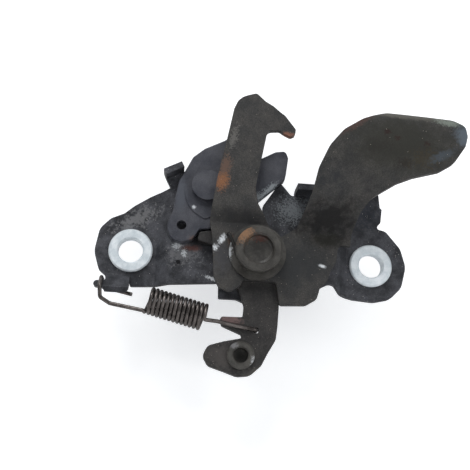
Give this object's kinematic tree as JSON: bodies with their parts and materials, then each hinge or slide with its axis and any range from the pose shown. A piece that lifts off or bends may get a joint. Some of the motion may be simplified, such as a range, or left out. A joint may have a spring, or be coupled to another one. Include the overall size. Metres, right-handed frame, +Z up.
{
  "type": "hood latch",
  "caption": "Hood latch with a fork claw, a hooked safety catch with a finger paddle, and a cable lever pulled by an extension spring.",
  "frame": {"origin": "midway between the two mounting holes, on the mounting face", "axes": "+X to the right as seen from the front, +Z up towards the hook, front towards -Y"},
  "size_m": [0.1405, 0.0326, 0.1128],
  "materials": {
    "base_steel": "worn dark coating with rust",
    "catch_steel": "worn dark coating with rust",
    "claw_steel": "smooth blue-black",
    "lever_steel": "worn dark coating",
    "zinc": "zinc plated",
    "rivet_steel": "dull steel with rust",
    "spring_steel": "dull spring steel"
  },
  "bodies": {
    "frame": {"base_plate": "base_steel", "left_mount_collar": "zinc", "right_mount_collar": "zinc", "claw_rivet": "rivet_steel", "main_rivet": "rivet_steel", "pivot_washer": "rivet_steel", "rear_washer": "rivet_steel", "claw_spring": "spring_steel", "safety_catch_spring": "spring_steel", "pawl_spring": "spring_steel"},
    "claw": {"claw": "claw_steel"},
    "safety_catch": {"safety_catch": "catch_steel"},
    "pawl": {"pawl_lever": "lever_steel", "cable_bush": "rivet_steel"}
  },
  "joints": [
    {"name": "claw_pivot", "type": "hinge", "parent": "frame", "child": "claw", "pos_m": [-0.0195, -0.0085, 0.026], "axis": [0, 1, 0], "range_deg": [0, 36], "stiffness_Nm_per_rad": 0.02, "springref_deg": -51.57, "deforming": ["claw_spring"]},
    {"name": "safety_catch_pivot", "type": "hinge", "parent": "frame", "child": "safety_catch", "pos_m": [0.001, -0.012, -0.0004], "axis": [0, -1, 0], "range_deg": [0, 20], "stiffness_Nm_per_rad": 0.05, "springref_deg": -51.57, "deforming": ["safety_catch_spring"]},
    {"name": "pawl_pivot", "type": "hinge", "parent": "frame", "child": "pawl", "pos_m": [0.001, -0.0085, -0.0004], "axis": [0, -1, 0], "range_deg": [0, 12], "stiffness_Nm_per_rad": 0.05, "springref_deg": -51.57, "deforming": ["pawl_spring"]}
  ]
}
